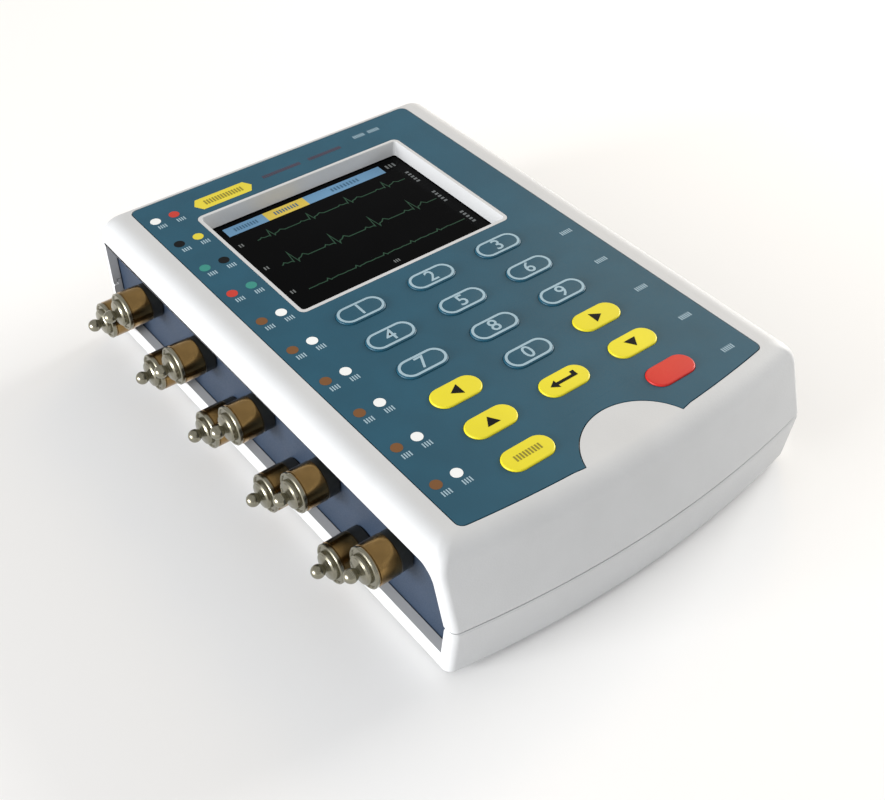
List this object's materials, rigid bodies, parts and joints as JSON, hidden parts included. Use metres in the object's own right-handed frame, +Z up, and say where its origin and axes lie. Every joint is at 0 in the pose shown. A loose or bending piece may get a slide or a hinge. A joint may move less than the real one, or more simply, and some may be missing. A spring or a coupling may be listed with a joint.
{
  "type": "patient simulator for electrocardiograph testing",
  "caption": "Handheld patient simulator with recessed colour display, membrane keypad, metal lead posts on its left side and round sockets on its right side.",
  "frame": {"origin": "centre of the case's flat underside, one foot's height above what it rests on", "axes": "+X to the right of a person reading the display, +Y towards the display end, +Z up out of the keypad"},
  "size_m": [0.1356, 0.177, 0.0415],
  "materials": {
    "case_plastic": "fine satin moulding texture",
    "overlay_film": "semi-gloss printed polyester film",
    "key_blue": "semi-gloss printed polyester film",
    "key_yellow": "semi-gloss printed polyester film",
    "key_red": "semi-gloss printed polyester film",
    "panel_plastic": "fine matt moulding texture",
    "nickel": "bright nickel plating on turned brass",
    "steel": "plain zinc-plated steel",
    "clear_acrylic": "polished hard-coated acrylic",
    "display_black": "colour display, black when unlit",
    "black_plastic": "matt insulating plastic",
    "board_green": "solder resist over copper",
    "circuit_film": "printed circuit on polyester",
    "battery_wrap": "shrink-wrapped cell pack",
    "rubber": "matt black rubber"
  },
  "bodies": {
    "case": {"top_case": "case_plastic", "bottom_case": "case_plastic", "battery_cover": "case_plastic", "keypad_overlay": "overlay_film", "keypad_circuit": "circuit_film", "display_cable": "circuit_film", "display_window": "clear_acrylic", "lcd_module": "display_black", "display_bracket": "steel", "main_board": "board_green", "lead_board": "board_green", "socket_board": "board_green", "buzzer": "black_plastic", "left_side_panel": "panel_plastic", "right_side_panel": "panel_plastic", "usb_socket": "steel", "power_jack": "black_plastic", "battery_pack": "battery_wrap", "battery_cover_screw": "steel", "lead_post_1": "nickel", "lead_post_2": "nickel", "lead_post_3": "nickel", "lead_post_4": "nickel", "lead_post_5": "nickel", "lead_post_6": "nickel", "lead_post_7": "nickel", "lead_post_8": "nickel", "lead_post_9": "nickel", "lead_post_10": "nickel", "round_socket_1": "black_plastic", "round_socket_2": "black_plastic", "round_socket_3": "black_plastic", "round_socket_4": "black_plastic", "round_socket_5": "black_plastic", "case_screw_1": "steel", "foot_1": "rubber", "case_screw_2": "steel", "foot_2": "rubber", "case_screw_3": "steel", "foot_3": "rubber", "case_screw_4": "steel", "foot_4": "rubber"},
    "key_1": {"key_1": "key_blue"},
    "key_2": {"key_2": "key_blue"},
    "key_3": {"key_3": "key_blue"},
    "key_4": {"key_4": "key_blue"},
    "key_5": {"key_5": "key_blue"},
    "key_6": {"key_6": "key_blue"},
    "key_7": {"key_7": "key_blue"},
    "key_8": {"key_8": "key_blue"},
    "key_9": {"key_9": "key_blue"},
    "key_left": {"key_left": "key_yellow"},
    "key_0": {"key_0": "key_blue"},
    "key_right": {"key_right": "key_yellow"},
    "key_up": {"key_up": "key_yellow"},
    "key_enter": {"key_enter": "key_yellow"},
    "key_down": {"key_down": "key_yellow"},
    "key_escape": {"key_escape": "key_yellow"},
    "key_power": {"key_power": "key_red"}
  },
  "joints": [
    {"name": "key_1_press", "type": "slide", "parent": "case", "child": "key_1", "axis": [0, 0, -1], "range_m": [0, 0.00045], "stiffness_N_per_m": 2000},
    {"name": "key_2_press", "type": "slide", "parent": "case", "child": "key_2", "axis": [0, 0, -1], "range_m": [0, 0.00045], "stiffness_N_per_m": 2000},
    {"name": "key_3_press", "type": "slide", "parent": "case", "child": "key_3", "axis": [0, 0, -1], "range_m": [0, 0.00045], "stiffness_N_per_m": 2000},
    {"name": "key_4_press", "type": "slide", "parent": "case", "child": "key_4", "axis": [0, 0, -1], "range_m": [0, 0.00045], "stiffness_N_per_m": 2000},
    {"name": "key_5_press", "type": "slide", "parent": "case", "child": "key_5", "axis": [0, 0, -1], "range_m": [0, 0.00045], "stiffness_N_per_m": 2000},
    {"name": "key_6_press", "type": "slide", "parent": "case", "child": "key_6", "axis": [0, 0, -1], "range_m": [0, 0.00045], "stiffness_N_per_m": 2000},
    {"name": "key_7_press", "type": "slide", "parent": "case", "child": "key_7", "axis": [0, 0, -1], "range_m": [0, 0.00045], "stiffness_N_per_m": 2000},
    {"name": "key_8_press", "type": "slide", "parent": "case", "child": "key_8", "axis": [0, 0, -1], "range_m": [0, 0.00045], "stiffness_N_per_m": 2000},
    {"name": "key_9_press", "type": "slide", "parent": "case", "child": "key_9", "axis": [0, 0, -1], "range_m": [0, 0.00045], "stiffness_N_per_m": 2000},
    {"name": "key_left_press", "type": "slide", "parent": "case", "child": "key_left", "axis": [0, 0, -1], "range_m": [0, 0.00045], "stiffness_N_per_m": 2000},
    {"name": "key_0_press", "type": "slide", "parent": "case", "child": "key_0", "axis": [0, 0, -1], "range_m": [0, 0.00045], "stiffness_N_per_m": 2000},
    {"name": "key_right_press", "type": "slide", "parent": "case", "child": "key_right", "axis": [0, 0, -1], "range_m": [0, 0.00045], "stiffness_N_per_m": 2000},
    {"name": "key_up_press", "type": "slide", "parent": "case", "child": "key_up", "axis": [0, 0, -1], "range_m": [0, 0.00045], "stiffness_N_per_m": 2000},
    {"name": "key_enter_press", "type": "slide", "parent": "case", "child": "key_enter", "axis": [0, 0, -1], "range_m": [0, 0.00045], "stiffness_N_per_m": 2000},
    {"name": "key_down_press", "type": "slide", "parent": "case", "child": "key_down", "axis": [0, 0, -1], "range_m": [0, 0.00045], "stiffness_N_per_m": 2000},
    {"name": "key_escape_press", "type": "slide", "parent": "case", "child": "key_escape", "axis": [0, 0, -1], "range_m": [0, 0.00045], "stiffness_N_per_m": 2000},
    {"name": "key_power_press", "type": "slide", "parent": "case", "child": "key_power", "axis": [0, 0, -1], "range_m": [0, 0.00045], "stiffness_N_per_m": 2000}
  ]
}
